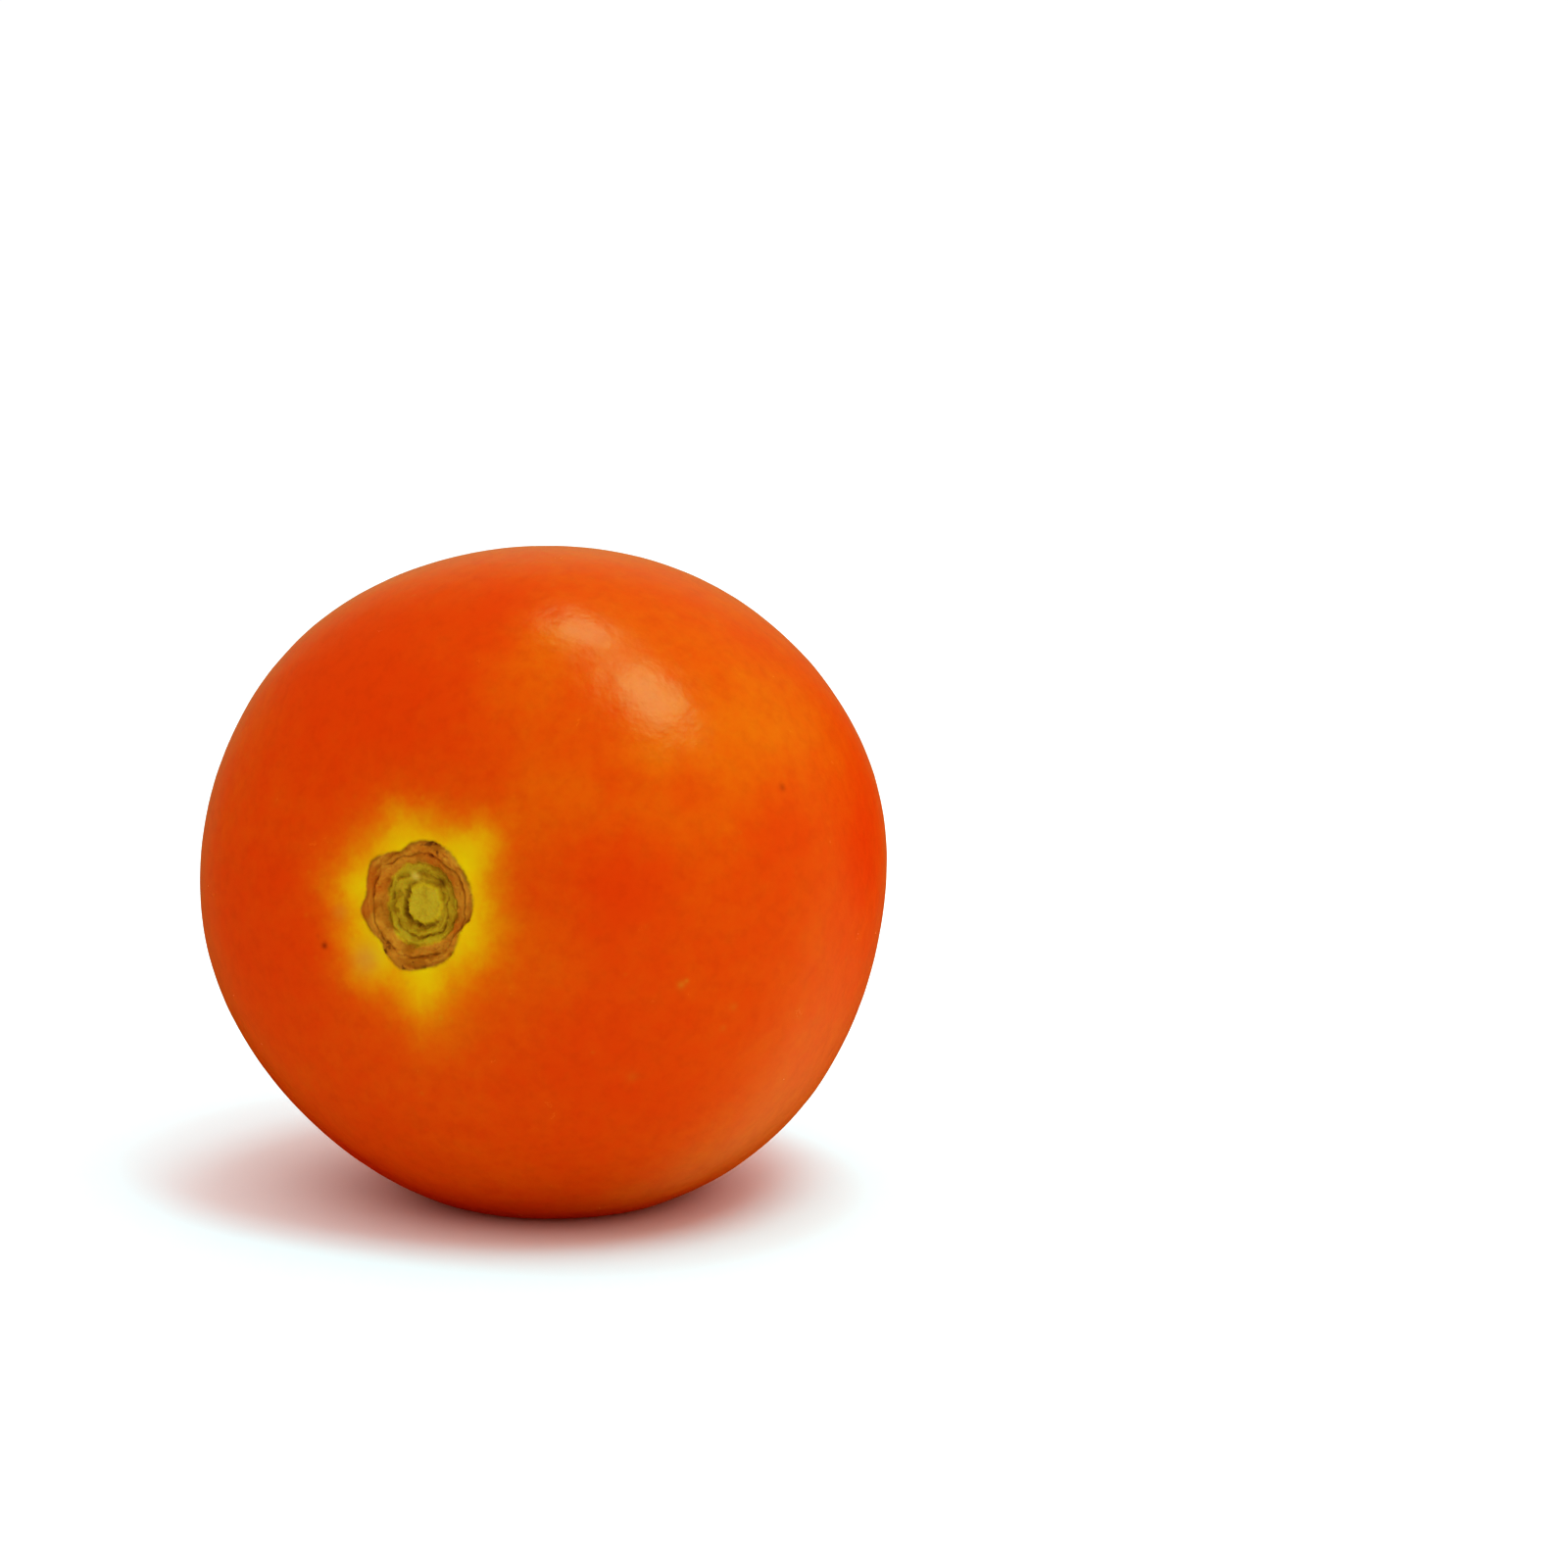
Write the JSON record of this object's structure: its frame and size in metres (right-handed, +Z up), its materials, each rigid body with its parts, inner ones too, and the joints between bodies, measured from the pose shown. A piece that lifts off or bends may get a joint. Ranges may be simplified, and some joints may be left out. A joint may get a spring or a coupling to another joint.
{
  "type": "tomato",
  "caption": "Round ripe tomato without its calyx, lying on its side on a small flat spot, with a corky stem scar in a shallow hollow.",
  "frame": {"origin": "middle of the small flat spot that the fruit rests on, on its underside", "axes": "+Z up from the resting surface; the stem end looks along -Y and is tipped 5.5 degrees above level; X runs across the stem axis"},
  "size_m": [0.0701, 0.0606, 0.0664],
  "materials": {
    "skin": "ripe tomato skin: orange-red, smooth, softly waxy, yellow round a tan corky stem scar"
  },
  "bodies": {
    "root": {"tomato": "skin"}
  },
  "joints": []
}
